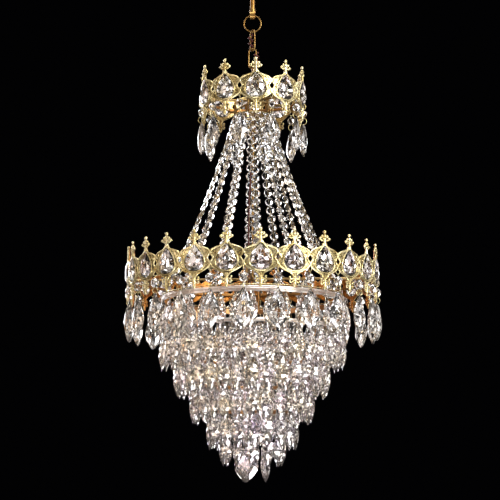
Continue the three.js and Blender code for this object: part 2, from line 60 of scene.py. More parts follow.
# A miniature crystal chandelier. Lengths are in millimetres until a piece is made, when they become metres.
# The stage, the lights and the camera are in metres throughout.
# An angle is measured about Z from the front, -Y, and grows towards +X, as in the CAD.
MM = 0.001
TURN = 2 * math.pi
JOINTS = {joint["name"]: joint for joint in frame["joints"]}


def box_mm(node):
    """The lowest and highest corner of a CAD node."""
    low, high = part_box(node)
    return low / MM, high / MM


def mean_radius(node):
    """The radius of a round node, from its width and depth."""
    low, high = box_mm(node)
    return (high.x - low.x + high.y - low.y) / 4


def joint_z(joint):
    return JOINTS[joint]["pos_m"][2] / MM


# ------------ shape tools
# A change is a function from points to points. Shapes are drawn about the origin and changed into place.

class Shape:
    """Points and faces gathered before they become one mesh. Faces are lists of point numbers."""

    def __init__(self):
        self.points = []
        self.faces = []

    def add(self, points, faces):
        start = len(self.points)
        self.points.extend(tuple(p) for p in points)
        self.faces.extend([start + i for i in face] for face in faces)
        return self

    def merge(self, other, *changes):
        """Adds another shape, with its points put through the changes in turn."""
        points = np.array(other.points, float)
        for change in changes:
            points = change(points)
        return self.add(points, other.faces)


def changed(shape, *changes):
    """A copy of a shape with its points put through the changes in turn."""
    return Shape().merge(shape, *changes)


def turned(angle):
    """Turns points about Z by an angle in degrees."""
    c, s = math.cos(math.radians(angle)), math.sin(math.radians(angle))
    matrix = np.array([[c, s, 0], [-s, c, 0], [0, 0, 1]])
    return lambda points: points @ matrix


def tipped(front, side=0.0):
    """Tips points about the origin, by degrees forwards and sideways."""
    a, b = math.radians(front), math.radians(side)
    forwards = np.array([[1, 0, 0], [0, math.cos(a), math.sin(a)], [0, -math.sin(a), math.cos(a)]])
    sideways = np.array([[math.cos(b), 0, math.sin(b)], [0, 1, 0], [-math.sin(b), 0, math.cos(b)]])
    return lambda points: points @ forwards @ sideways


def moved(x, y, z):
    return lambda points: points + np.array([x, y, z])


def crosswise(points):
    """Swaps X and Y, so that a ring that was drawn facing the front faces sideways."""
    return points[:, [1, 0, 2]]


def laid_flat(points):
    """Turns a stone drawn upright, facing -Y, into a flat drawing (across, up, outwards)."""
    return np.column_stack([points[:, 0], points[:, 2], -points[:, 1]])


def wrapped(radius, top_z):
    """Bends a flat drawing (across, up, outwards) round the upright cylinder of a crown, front at -Y."""
    def change(points):
        angle = points[:, 0] / radius
        reach = radius + points[:, 2]
        return np.column_stack([reach * np.sin(angle), -reach * np.cos(angle), top_z + points[:, 1]])
    return change


def around(shape, angles):
    """Copies of a shape at several angles, as one shape."""
    whole = Shape()
    for angle in angles:
        whole.merge(shape, turned(angle))
    return whole


def mirrored(shape):
    """The shape and its reflection across its own middle line."""
    whole = changed(shape)
    points = [(-x, y, z) for x, y, z in shape.points]
    return whole.add(points, [face[::-1] for face in shape.faces])


def smooth_line(knots, per_span):
    """A Catmull-Rom curve through the knots."""
    knots = np.array(knots, float)
    count = len(knots)
    points = []
    for i in range(count - 1):
        a, b, c, d = (knots[min(max(i + k, 0), count - 1)] for k in (-1, 0, 1, 2))
        for j in range(per_span):
            t = j / per_span
            points.append(0.5 * (2 * b + (c - a) * t + (2 * a - 5 * b + 4 * c - d) * t * t
                                 + (3 * b - a - 3 * c + d) * t ** 3))
    points.append(knots[-1])
    return np.array(points)


def tube(path, radius, sides=8, closed=False):
    """A round wire along a path. The radius is one number or one for each point of the path."""
    path = np.array(path, float)
    count = len(path)
    radii = np.broadcast_to(np.array(radius, float), count)
    if closed:
        tangents = np.roll(path, -1, axis=0) - np.roll(path, 1, axis=0)
    else:
        tangents = np.gradient(path, axis=0)
    tangents /= np.linalg.norm(tangents, axis=1)[:, None]
    upright = abs(tangents[0][2]) >= 0.9
    normal = np.cross(tangents[0], [1.0, 0, 0] if upright else [0, 0, 1.0])
    points = []
    for i in range(count):
        normal = normal - tangents[i] * normal.dot(tangents[i])
        normal /= np.linalg.norm(normal)
        side = np.cross(tangents[i], normal)
        for k in range(sides):
            a = TURN * k / sides
            points.append(path[i] + radii[i] * (math.cos(a) * normal + math.sin(a) * side))
    faces = []
    for i in range(count if closed else count - 1):
        j = (i + 1) % count
        for k in range(sides):
            m = (k + 1) % sides
            faces.append([i * sides + k, i * sides + m, j * sides + m, j * sides + k])
    if not closed:
        faces.append(list(range(sides))[::-1])
        faces.append([(count - 1) * sides + k for k in range(sides)])
    return Shape().add(points, faces)


def ring(radius, wire, sides=8, steps=24, stretch=0.0):
    """A closed wire ring in the XZ plane, drawn out along Z by a stretch on each half."""
    path = []
    for i in range(steps):
        a = TURN * i / steps
        z = radius * math.cos(a)
        path.append((radius * math.sin(a), 0, z + math.copysign(stretch, z) if abs(z) > 1e-9 else 0))
    return tube(path, wire, sides, closed=True)


def level_ring(radius, z, wire, steps):
    """A closed wire ring about the axis, at one height."""
    angles = [TURN * k / steps for k in range(steps)]
    return tube([(radius * math.sin(a), radius * math.cos(a), z) for a in angles], wire, 6, closed=True)


def ball(centre, radii, rings=6, sides=10):
    """A round or oval bead of metal."""
    radii = np.broadcast_to(np.array(radii, float), 3)
    points = [(0, 0, 1)]
    for i in range(1, rings):
        a = math.pi * i / rings
        points += [(math.sin(a) * math.cos(TURN * k / sides), math.sin(a) * math.sin(TURN * k / sides),
                    math.cos(a)) for k in range(sides)]
    points.append((0, 0, -1))
    last = len(points) - 1
    faces = []
    for k in range(sides):
        m = (k + 1) % sides
        faces.append([0, 1 + k, 1 + m])
        for i in range(rings - 2):
            base = 1 + i * sides
            faces.append([base + k, base + sides + k, base + sides + m, base + m])
        faces.append([last, last - sides + m, last - sides + k])
    return Shape().add(np.array(points) * radii + np.array(centre, float), faces)


def lathe(profile, steps=96):
    """A closed profile of [radius, z] points turned about Z."""
    count = len(profile)
    points = []
    for i in range(steps):
        a = TURN * i / steps
        points += [(r * math.sin(a), -r * math.cos(a), z) for r, z in profile]
    faces = []
    for i in range(steps):
        j = (i + 1) % steps
        for k in range(count):
            m = (k + 1) % count
            faces.append([i * count + k, j * count + k, j * count + m, i * count + m])
    return Shape().add(points, faces)


def band(radius, thickness, top_z, bottom_z, edge=0.1, steps=96):
    """A hoop of flat strip with eased edges."""
    inner, outer = radius - thickness / 2, radius + thickness / 2
    profile = [
        (inner, bottom_z + edge), (inner + edge, bottom_z),
        (outer - edge, bottom_z), (outer, bottom_z + edge),
        (outer, top_z - edge), (outer - edge, top_z),
        (inner + edge, top_z), (inner, top_z - edge),
    ]
    return lathe(profile, steps)


def gem(rings):
    """A cut stone from rings of equal numbers of points, joined by triangles, with a flat at each end."""
    count = len(rings[0])
    faces = []
    for i in range(len(rings) - 1):
        a, b = i * count, (i + 1) * count
        for k in range(count):
            m = (k + 1) % count
            if i % 2 == 0:
                faces += [[a + k, a + m, b + k], [a + m, b + m, b + k]]
            else:
                faces += [[a + k, a + m, b + m], [a + k, b + m, b + k]]
    last = (len(rings) - 1) * count
    faces.append(list(range(count))[::-1])
    faces.append([last + k for k in range(count)])
    return Shape().add([point for points in rings for point in points], faces)


def between(outline, half_step):
    """The outline's points, or the points half way between them."""
    outline = np.array(outline, float)
    return (outline + np.roll(outline, -1, axis=0)) / 2 if half_step else outline


def flat_gem(outline, centre, levels):
    """A stone cut from an outline in the XZ plane. Each level is (share of the outline, depth outwards)."""
    centre = np.array(centre)
    rings = []
    for i, (share, depth) in enumerate(levels):
        cut = centre + share * (between(outline, i % 2 == 1) - centre)
        rings.append([(x, -depth, z) for x, z in cut])
    return gem(rings)


def face_outwards(mesh):
    """Makes all the faces of closed shapes look outwards."""
    work = bmesh.new()
    work.from_mesh(mesh)
    bmesh.ops.recalc_face_normals(work, faces=work.faces)
    work.to_mesh(mesh)
    work.free()


def piece(name, shape, material, body, replaced=(), smooth=True, sharp=None):
    """One Blender object made from a shape, riding on a CAD body. Edges sharper than sharp stay hard."""
    mesh = bpy.data.meshes.new(name)
    mesh.from_pydata((np.array(shape.points) * MM).tolist(), [], shape.faces)
    mesh.validate()
    mesh.update()
    face_outwards(mesh)
    mesh.materials.append(material)
    for polygon in mesh.polygons:
        polygon.use_smooth = smooth
    if smooth and sharp is not None:
        mesh.set_sharp_from_angle(angle=math.radians(sharp))
    item = bpy.data.objects.new(name, mesh)
    bpy.context.scene.collection.objects.link(item)
    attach(item, body)
    if replaced:
        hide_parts(*replaced)


# ------------ material tools

class Graph:
    """The shader nodes of a material or of the world."""

    def __init__(self, owner):
        owner.use_nodes = True
        self.nodes = owner.node_tree.nodes
        self.links = owner.node_tree.links

    def fill(self, node, inputs):
        """Feeds a node's inputs. Each is given as a value or as the socket that it comes from."""
        for name, value in inputs.items():
            socket = node.inputs[name]
            if isinstance(value, bpy.types.NodeSocket):
                self.links.new(value, socket)
            elif socket.type == "RGBA":
                socket.default_value = (*value, 1)
            else:
                socket.default_value = value

    def add(self, kind, inputs, **settings):
        node = self.nodes.new("ShaderNode" + kind)
        for name, value in settings.items():
            setattr(node, name, value)
        self.fill(node, inputs)
        return node

    def place(self, space):
        return self.add("TexCoord", {}).outputs[space]

    def noise(self, scale, detail=3.0):
        """Noise in the object's own space. The scale is in features per millimetre."""
        inputs = {"Vector": self.place("Object"), "Scale": scale / MM, "Detail": detail, "Roughness": 0.55}
        return self.add("TexNoise", inputs).outputs["Fac"]

    def ramp(self, source, stops):
        """A colour that depends on a value. Each stop is (value, colour)."""
        node = self.add("ValToRGB", {"Fac": source})
        elements = node.color_ramp.elements
        while len(elements) < len(stops):
            elements.new(0.5)
        for element, (value, colour) in zip(elements, stops):
            element.position = value
            element.color = (*colour, 1)
        return node.outputs["Color"]

    def spread(self, source, low, high):
        """A value from 0 to 1 mapped to the range from low to high."""
        return self.add("MapRange", {"Value": source, "To Min": low, "To Max": high}).outputs["Result"]

    def share(self, source, start, end):
        """How far a value is on its way from start to end, from 0 to 1."""
        return self.add("MapRange", {"Value": source, "From Min": start, "From Max": end}).outputs["Result"]

    def mixed(self, factor, first, second, blend="MIX"):
        """One colour from two."""
        inputs = {"Factor": factor, "A": first, "B": second}
        return self.add("Mix", inputs, data_type="RGBA", blend_type=blend).outputs["Result"]

    def dot(self, first, second):
        return self.add("VectorMath", {0: first, 1: second}, operation="DOT_PRODUCT").outputs["Value"]

    def bump(self, source, height_mm, strength):
        inputs = {"Height": source, "Distance": height_mm * MM, "Strength": strength}
        return self.add("Bump", inputs).outputs["Normal"]

    def camera_ray(self):
        """1 for what the camera sees directly, 0 for what is seen in or through the object."""
        return self.add("LightPath", {}).outputs["Is Camera Ray"]

    def openness(self, reach):
        """1 where the surface stands proud, 0 in a recess narrower than reach. Used to paint shade into
        recesses.
        """
        hollow = self.add("AmbientOcclusion", {"Distance": reach * MM}, samples=4)
        return self.share(hollow.outputs["AO"], 0.35, 0.95)

    def inward(self):
        """1 on surfaces that look in towards the object's own upright axis, 0 on those that look out. Used as
        the mask for painted shade on the inner faces.
        """
        level = self.add("VectorMath", {0: self.place("Object"), 1: (1, 1, 0)}, operation="MULTIPLY")
        outward = self.add("VectorMath", {0: level.outputs["Vector"]}, operation="NORMALIZE")
        return self.share(self.dot(outward.outputs["Vector"], self.place("Normal")), -0.1, -0.5)


def new_material(name):
    material = bpy.data.materials.new(name)
    graph = Graph(material)
    return material, graph, graph.nodes["Principled BSDF"]


# ------------ materials

def metal(name, tones, rough=(0.2, 0.36), recess=0.6, inside=None, grain=0.5, mottle=4.0):
    """Metal in three tones from pale to deep, with painted shade in its recesses and a painted shade tone on
    its inner side.
    """
    pale, middle, deep = tones
    material, graph, shader = new_material(name)
    tone = graph.ramp(graph.noise(0.35, mottle), [(0.3, deep), (0.5, middle), (0.68, pale)])
    # painted shade: the colour goes dark where ambient occlusion finds a recess
    tone = graph.mixed(graph.openness(recess), tuple(0.3 * c for c in deep), tone)
    # painted shade on the faces that look in towards the axis; an orange tone here also paints the lamp's
    # warm reflection
    if inside is not None:
        tone = graph.mixed(graph.inward(), tone, inside)
    graph.fill(shader, {
        "Base Color": tone,
        "Metallic": 1,
        "Roughness": graph.spread(graph.noise(1.1), *rough),
        "Normal": graph.bump(graph.noise(2.5, 2), 0.05, grain),
    })
    return material


def crystal(name, cool, warm, mirror, index, wave=0.2):
    """Clear cut crystal. Some facets throw back more light than they let through, as in a real stone."""
    material, graph, shader = new_material(name)
    graph.fill(shader, {
        "Transmission Weight": 1,
        "IOR": index,
        "Base Color": graph.ramp(graph.noise(0.22, 2), [(0.38, cool), (0.5, (1, 1, 1)), (0.62, warm)]),
        "Metallic": graph.spread(graph.noise(0.35, 1), 0.0, 2 * mirror),
        "Roughness": graph.spread(graph.noise(0.8), 0.0, 0.04),
        "Normal": graph.bump(graph.noise(0.6, 1), 0.02, wave),
    })
    return material


def flex_covering():
    material, graph, shader = new_material("red_brown_flex")
    tones = [(0.3, (0.05, 0.012, 0.010)), (0.7, (0.15, 0.035, 0.030))]
    graph.fill(shader, {
        "Base Color": graph.ramp(graph.noise(0.8), tones),
        "Roughness": graph.spread(graph.noise(2.0), 0.45, 0.65),
        "Specular IOR Level": 0.3,
        "Normal": graph.bump(graph.noise(3.0), 0.03, 0.4),
    })
    return material


def socket_plastic():
    material, graph, shader = new_material("brown_socket")
    tones = [(0.3, (0.20, 0.08, 0.03)), (0.7, (0.38, 0.18, 0.07))]
    graph.fill(shader, {
        "Base Color": graph.ramp(graph.noise(0.7), tones),
        "Roughness": graph.spread(graph.noise(1.5), 0.25, 0.45),
        "Normal": graph.bump(graph.noise(2.0), 0.03, 0.4),
    })
    return material


def lit_glass():
    material, graph, shader = new_material("lit_lamp_glass")
    tone = graph.ramp(graph.noise(0.4), [(0.3, (1.0, 0.55, 0.22)), (0.7, (1.0, 0.78, 0.45))])
    graph.fill(shader, {
        "Base Color": tone,
        "Emission Color": tone,
        "Emission Strength": graph.spread(graph.noise(0.5), 3.0, 6.0),
        "Roughness": 0.1,
    })
    return material


GILT_TONES = ((0.97, 0.90, 0.60), (0.87, 0.76, 0.42), (0.55, 0.42, 0.16))
INNER_BRASS_TONES = ((0.46, 0.33, 0.15), (0.33, 0.22, 0.09), (0.20, 0.12, 0.04))
STEM_TONES = ((0.34, 0.22, 0.08), (0.26, 0.15, 0.05), (0.16, 0.08, 0.03))
BRASS_TONES = ((0.40, 0.26, 0.09), (0.34, 0.20, 0.06), (0.27, 0.14, 0.04))
BRIGHT_TONES = ((1.0, 0.97, 0.95), (0.96, 0.91, 0.88), (0.88, 0.80, 0.76))

# The inner tones below are painted shade; the orange ones of the lower gallery and the hoops also paint a
# warm reflection of the lamp.
GILT = metal("gilt_casting", GILT_TONES, inside=(0.50, 0.38, 0.18))
GILT_WARM_INNER_SHADE = metal("gilt_casting_painted_warm_inner_shade", GILT_TONES, inside=(0.42, 0.17, 0.04))
INNER_BRASS = metal("inner_brass", INNER_BRASS_TONES, (0.32, 0.48), inside=(0.30, 0.15, 0.05), grain=0.2)
STEM_BRASS = metal("stem_brass", STEM_TONES, (0.3, 0.4), grain=0.0, mottle=1.0)
BRASS = metal("yellow_brass", BRASS_TONES, (0.36, 0.42), grain=0.0, mottle=1.0)
BRIGHT = metal("polished_hoop", BRIGHT_TONES, (0.26, 0.36), 0.3, (0.55, 0.30, 0.14), grain=0.05, mottle=1.0)

CRYSTAL = crystal("clear_crystal", (0.90, 0.93, 0.96), (0.96, 0.92, 0.84), 0.05, 1.6)
BEAD_CRYSTAL = crystal("bead_crystal", (0.90, 0.93, 1.0), (1.0, 0.95, 0.88), 0.01, 1.48, wave=0.0)
STONE = crystal("pear_stone", (0.95, 0.88, 0.93), (0.95, 0.95, 0.88), 0.22, 1.7)
# Three copies of the basket crystal, whiter and more mirror-like from the upper tiers to the lower: painted
# light that makes the foot of the basket brighter
UPPER_BASKET = crystal("upper_basket_crystal", (0.96, 0.91, 0.94), (1.0, 0.94, 0.80), 0.13, 1.65)
MIDDLE_BASKET = crystal("middle_basket_crystal", (0.98, 0.91, 0.96), (1.0, 0.95, 0.82), 0.22, 1.65)
LOWER_BASKET = crystal("lower_basket_crystal", (0.97, 0.91, 0.99), (1.0, 0.97, 0.92), 0.36, 1.65)

FLEX = flex_covering()
SOCKET = socket_plastic()
LAMP = lit_glass()


# ------------ crown measurements from the frame

class Crown:
    """Where a crown's cast frames and pendants are, read from its gallery and its pendants' joints."""

    def __init__(self, gallery, pendant):
        names = sorted(name for name in JOINTS if name.startswith(pendant))
        self.hinges = [Vector(JOINTS[name]["pos_m"]) / MM for name in names]
        self.hinge_z = self.hinges[0].z
        self.top_z = box_mm(gallery)[1].z
        self.radius = math.hypot(self.hinges[0].x, self.hinges[0].y)
        self.gap_angles = [math.degrees(math.atan2(p.x, -p.y)) for p in self.hinges]
        self.frame_angles = [angle + 180 / len(names) for angle in self.gap_angles]


UPPER = Crown("upper_crown_gallery", "upper_pendant")
LOWER = Crown("lower_crown_gallery", "lower_pendant")


# ------------ cast frame
# The casting is drawn flat. Its tables give (across, depth) or (across, depth, outwards), with the depth
# measured down from the finial's tip. As points these become (across, -depth, outwards).

PEAR_TOP, PEAR_BOTTOM, PEAR_HALF = 4.1, 11.4, 2.85
PEAR_MIDDLE = (PEAR_TOP + PEAR_BOTTOM) / 2
PEAR_FULLNESS = 1.3

# One side of the rim, from the finial's neck down to the fleur's.
RIM = [
    (0.42, 3.7), (0.62, 4.25), (1.35, 4.75), (2.6, 5.15), (3.75, 5.6), (4.36, 6.2),
    (4.36, 6.9), (3.95, 7.45), (3.72, 8.0), (3.95, 8.55), (4.36, 9.1), (4.36, 9.9),
    (3.8, 10.6), (2.5, 11.35), (1.2, 12.0), (0.62, 12.6), (0.42, 13.1),
]
RIM_WIRE, SOLDER_WIRE = 0.27, (0.2, 0.26, 0.2)
WEB_BACK, WEB_FRONT = -0.22, -0.04
BEZEL_MARGIN, BEZEL_WIRE, BEZEL_OUT = 0.28, 0.2, 0.14
MILLGRAIN_MARGIN, MILLGRAIN_RADIUS, MILLGRAIN_OUT = 0.66, 0.15, 0.12
MILLGRAIN_TOP, MILLGRAIN_BOTTOM = 4.7, 11.6
SOLDER_BARS = ((6.15, 6.95), (9.05, 10.35))  # depths of the top and the foot of each


def pear(count, grow=0.0):
    """Points of the pear outline, tip up, grown outwards by a margin."""
    points = []
    for i in range(count):
        a = TURN * i / count
        x = PEAR_FULLNESS * (PEAR_HALF + grow) * math.sin(a) * abs(math.sin(a / 2))
        points.append((x, -PEAR_MIDDLE + ((PEAR_BOTTOM - PEAR_TOP) / 2 + grow) * math.cos(a)))
    return points


def drawn(knots, outwards=0.0):
    """Flat (across, depth) knots as points."""
    return [(x, -depth, outwards) for x, depth in knots]


def scroll(knots, outwards, wire, per_span=4, sides=8):
    """A bent wire of the casting through flat (across, depth) knots."""
    return tube(smooth_line(drawn(knots, outwards), per_span), wire, sides)


def lobe(place, radii, rings=6):
    """A bead of the casting at (across, depth, outwards)."""
    across, depth, outwards = place
    return ball((across, -depth, outwards), radii, rings)


def curl(x, depth, start, turns, radius, wire):
    """A small scroll that winds in to a bead."""
    path, radii = [], []
    steps = 14
    for i in range(steps + 1):
        share = i / steps
        a = math.radians(start) + turns * TURN * share
        reach = radius * (1 - 0.75 * share)
        path.append((x + reach * math.cos(a), -depth + reach * math.sin(a), 0.1))
        radii.append(wire * (0.75 + 0.5 * share))
    return tube(path, radii, 6)


def match_round(outline):
    """For each outline point, the point of the pear edge that lies in the same direction from its middle."""
    edge = np.array(pear(360))
    angles = np.arctan2(*(edge - np.array([0, -PEAR_MIDDLE])).T)
    chosen = []
    for x, y in outline:
        wanted = math.atan2(x, y + PEAR_MIDDLE)
        gaps = np.abs(np.angle(np.exp(1j * (angles - wanted))))
        chosen.append(tuple(edge[int(np.argmin(gaps))]))
    return chosen


def web():
    """The thin sheet of the casting between its rims, with the pear opening cut out of it."""
    half = [(x, -depth) for x, depth in smooth_line(RIM, 3)]
    outline = half + [(-x, y) for x, y in reversed(half)]
    both = outline + match_round(outline)
    count = len(outline)
    points = [(x, y, outwards) for outwards in (WEB_FRONT, WEB_BACK) for x, y in both]
    faces = []
    for k in range(count):
        m = (k + 1) % count
        faces += [
            [k, m, count + m, count + k],
            [2 * count + m, 2 * count + k, 3 * count + k, 3 * count + m],
            [m, k, 2 * count + k, 2 * count + m],
            [count + k, count + m, 3 * count + m, 3 * count + k],
        ]
    return Shape().add(points, faces)


def finial():
    """The trefoil on top: a tip bead, a petal, and two pairs of side lobes on a collar."""
    shape = lobe((0, 0.52, 0.05), (0.5, 0.52, 0.4))
    shape.merge(lobe((0, 1.75, 0.08), (0.52, 0.95, 0.4)))
    shape.merge(lobe((0, 3.3, 0.05), (0.62, 0.26, 0.4)))
    shape.merge(tube(drawn([(0, 1.6), (0, 3.0), (0, 4.3)]), [0.34, 0.42, 0.5]))
    side = scroll([(0.1, 3.0), (0.55, 2.75), (1.0, 2.75), (1.42, 2.35)], 0.08, 0.24)
    side.merge(lobe((1.42, 2.35, 0.1), (0.46, 0.44, 0.36)))
    side.merge(lobe((0.82, 1.7, 0.1), (0.42, 0.44, 0.32)))
    side.merge(lobe((0.8, 2.75, 0.06), (0.42, 0.34, 0.3)))
    side.merge(scroll([(0.1, 2.5), (0.5, 2.25), (0.8, 1.8)], 0.08, 0.2, per_span=3))
    return shape.merge(mirrored(side))


def fleur():
    """The drop under the frame: collar, two scrolled lobes and a pointed petal."""
    shape = tube(drawn([(0, 12.2), (0, 13.2), (0, 14.6)]), [0.5, 0.42, 0.5])
    shape.merge(lobe((0, 13.15, 0.08), (0.66, 0.24, 0.4)))
    shape.merge(lobe((0, 15.1, 0.06), (0.5, 1.05, 0.36), 7))
    side = scroll([(0.2, 13.4), (0.75, 13.85), (1.2, 13.75), (1.3, 13.3)], 0.08, 0.22)
    side.merge(lobe((1.3, 13.25, 0.1), 0.32))
    side.merge(scroll([(0.2, 13.9), (0.7, 14.6), (1.15, 14.75), (1.3, 14.35)], 0.06, 0.2))
    side.merge(lobe((1.3, 14.35, 0.08), 0.3))
    return shape.merge(mirrored(side))


def rim_and_scrolls():
    """One side of the frame: its rim, three curls and the two long scrolls beside the pear."""
    side = scroll(RIM, 0.0, RIM_WIRE)
    side.merge(curl(3.62, 6.6, 200, -1.1, 0.5, 0.15))
    side.merge(curl(3.62, 9.5, 160, 1.1, 0.5, 0.15))
    side.merge(curl(1.15, 12.0, 60, 1.0, 0.4, 0.13))
    side.merge(scroll([(0.6, 4.35), (1.7, 5.05), (2.9, 5.55), (3.3, 6.2)], 0.1, 0.13, sides=6))
    return side.merge(scroll([(0.75, 11.9), (1.7, 11.35), (2.9, 10.4), (3.3, 9.8)], 0.1, 0.13, sides=6))


def bezel():
    """The raised rim that holds the stone, and the row of small grains round it."""
    rim = [(x, y, BEZEL_OUT) for x, y in pear(40, BEZEL_MARGIN)]
    shape = tube(rim, BEZEL_WIRE, closed=True)
    for x, y in pear(34, MILLGRAIN_MARGIN):
        if MILLGRAIN_TOP < -y < MILLGRAIN_BOTTOM:
            shape.merge(ball((x, y, MILLGRAIN_OUT), MILLGRAIN_RADIUS, 4, 6))
    return shape


def cast_frame():
    """One frame of a crown, flat."""
    shape = web()
    for part in (mirrored(rim_and_scrolls()), bezel(), finial(), fleur()):
        shape.merge(part)
    return shape


def solder_bars():
    """The two solder bars between neighbouring frames, above and below the kite-shaped gap."""
    shape = Shape()
    for top, foot in SOLDER_BARS:
        shape.merge(tube(drawn([(0, top), (0, (top + foot) / 2), (0, foot)], 0.02), SOLDER_WIRE))
    return shape


def gallery(name, crown, node, gilt):
    """All the frames of a crown, and the bars between them."""
    bend = wrapped(crown.radius, crown.top_z)
    whole = around(changed(cast_frame(), bend), crown.frame_angles)
    whole.merge(around(changed(solder_bars(), bend), crown.gap_angles))
    piece(name, whole, gilt, "chandelier", [node], sharp=50)


def pear_stones(name, crown, node):
    """Pear stones with a table, a double row of crown facets and a shallow pavilion."""
    table_centre = (0, -PEAR_MIDDLE - 0.6)
    levels = [(0.2, -0.65), (0.6, -0.4), (1.0, 0.05), (0.86, 0.5), (0.6, 0.85), (0.34, 1.0)]
    stone = flat_gem(pear(16, 0.1), table_centre, levels)
    bent = changed(stone, laid_flat, wrapped(crown.radius, crown.top_z))
    piece(name, around(bent, crown.frame_angles), STONE, "chandelier", [node], smooth=False)


gallery("upper_gallery", UPPER, "upper_crown_gallery", GILT)
gallery("lower_gallery", LOWER, "lower_crown_gallery", GILT_WARM_INNER_SHADE)
pear_stones("upper_stones", UPPER, "upper_crown_jewels")
pear_stones("lower_stones", LOWER, "lower_crown_jewels")


# ------------ drops and pendants

# Half-outlines of the drops, from the top: (share of the length, share of the half-width).
ALMOND = [
    (0.0, 0.05), (0.1, 0.24), (0.25, 0.54), (0.42, 0.84), (0.56, 1.0), (0.7, 0.95), (0.84, 0.64),
    (0.95, 0.27), (1.0, 0.05),
]
SPEAR = [
    (0.0, 0.1), (0.08, 0.34), (0.2, 0.6), (0.34, 0.84), (0.48, 0.97), (0.58, 1.0), (0.68, 0.9),
    (0.8, 0.62), (0.9, 0.32), (1.0, 0.03),
]
# Rows of facets of a flat drop, from back to front: (share of the outline, share of the half-depth).
DROP_LEVELS = [
    (0.2, -1.0), (0.48, -0.86), (0.76, -0.56), (1.0, -0.08), (0.995, 0.08), (0.76, 0.56), (0.48, 0.86),
    (0.2, 1.0),
]
BEAD_ROWS = (-64, -26, 26, 64)  # degrees of latitude of the corners of a round bead's facets

PENDANT_WIRE = 0.1
JUMP_RING = 0.78
LOOP_OVERLAP, LOOP_RISE = 0.5, 0.1  # of the lower loop: with bead and drop in all, and with the bead


def almond_drop(half, length, deep):
    """A flat almond drop cut in facets on both faces, its top at the origin."""
    right = [(half * width, -length * share) for share, width in ALMOND]
    outline = right + [(-x, z) for x, z in reversed(right)]
    widest = max(ALMOND, key=lambda place: place[1])[0]
    levels = [(share, deep * part) for share, part in DROP_LEVELS]
    return flat_gem(outline, (0, -length * widest), levels)


def briolette(profile, half, length, deep, count=8, rows=13, cut=0.9):
    """A hanging drop cut all round in rows of three-sided facets, wider across than from front to back."""
    rings = []
    for i in range(rows):
        share = i / (rows - 1)
        half_step = 0.5 * (i % 2)
        width = float(np.interp(share, *zip(*profile))) * (cut if i % 2 else 1.0)
        across, out = half * width, deep * width
        angles = [TURN * (k + half_step) / count for k in range(count)]
        rings.append([(across * math.sin(a), -out * math.cos(a), -length * share) for a in angles])
    return gem(rings[::-1])


def round_bead(radius, z, count=8):
    """A round bead cut in rows of facets."""
    rings = []
    for i, tilt in enumerate(BEAD_ROWS):
        reach, height = radius * math.cos(math.radians(tilt)), radius * math.sin(math.radians(tilt))
        angles = [TURN * (k + 0.5 * (i % 2)) / count for k in range(count)]
        rings.append([(reach * math.sin(a), -reach * math.cos(a), z + height) for a in angles])
    return gem(rings)


class Pendant:
    """The sizes of a crown's pendants. Depths are measured down from the hinge."""

    def __init__(self, crown, node, bead, bead_depth, drop_depth, drop_half, drop_deep):
        self.bead = bead
        self.bead_depth = bead_depth
        self.drop_depth = drop_depth
        self.drop_half = drop_half
        self.drop_deep = drop_deep
        self.drop_length = crown.hinge_z - box_mm(node)[0].z - drop_depth


def pendant_wires(size):
    """The jump ring in the casting and the loops above and below the bead."""
    bead_top, bead_foot = size.bead_depth - size.bead, size.bead_depth + size.bead
    loop = (size.drop_depth - bead_foot + LOOP_OVERLAP) / 2
    shape = changed(ring(JUMP_RING, PENDANT_WIRE, 6, 20), crosswise, moved(0, 0, -JUMP_RING))
    shape.merge(tube([(0, 0, -2 * JUMP_RING), (0, 0, -bead_top)], PENDANT_WIRE, 6))
    return shape.merge(ring(loop, PENDANT_WIRE, 6, 16), crosswise, moved(0, 0, LOOP_RISE - bead_foot - loop))


def make_pendants(prefix, crown, size, seed):
    """The pendants of a crown. Each drop and each bead is turned a little on its own."""
    dice = random.Random(seed)
    almond = almond_drop(size.drop_half, size.drop_length, size.drop_deep)
    bead = round_bead(size.bead, -size.bead_depth)
    wires = pendant_wires(size)
    for i, hinge in enumerate(crown.hinges):
        body = f"{prefix}_{i + 1:02d}"
        place = (turned(crown.gap_angles[i]), moved(*hinge))
        drop_twist = turned(dice.uniform(-14, 14))
        bead_twist = turned(dice.uniform(-20, 20))
        glass = changed(bead, bead_twist, *place)
        glass.merge(almond, drop_twist, moved(0, 0, -size.drop_depth), *place)
        piece(f"{body}_crystal", glass, CRYSTAL, body, [body], smooth=False)
        piece(f"{body}_wire", changed(wires, *place), GILT, body)


UPPER_SIZE = Pendant(UPPER, "upper_pendant_01", bead=1.15, bead_depth=3.1, drop_depth=5.7,
                     drop_half=2.5, drop_deep=1.1)
LOWER_SIZE = Pendant(LOWER, "lower_pendant_01", bead=1.35, bead_depth=3.5, drop_depth=6.1,
                     drop_half=3.1, drop_deep=1.3)
make_pendants("upper_pendant", UPPER, UPPER_SIZE, 11)
make_pendants("lower_pendant", LOWER, LOWER_SIZE, 23)


# ------------ bead strands

BAND_THICKNESS = 0.5
BAND_RADIUS = mean_radius("cascade_top_hoop") - BAND_THICKNESS / 2

STRAND_COUNT, STRAND_FIRST = 14, 3.5
STRAND_TOP_RADIUS = 5.0
STRAND_SAG = 2.6
STRAND_WIRE, STRAND_TOP_WIRE, STRAND_FOOT_WIRE = 0.07, 0.15, 0.13
STRAND_SEED = 5
BEADS = 22
BEAD_RADIUS, BEAD_DEPTH, BEAD_GIRDLE, BEAD_TABLE = 1.34, 0.45, 0.1, 0.62
BEAD_SPACER = 0.16


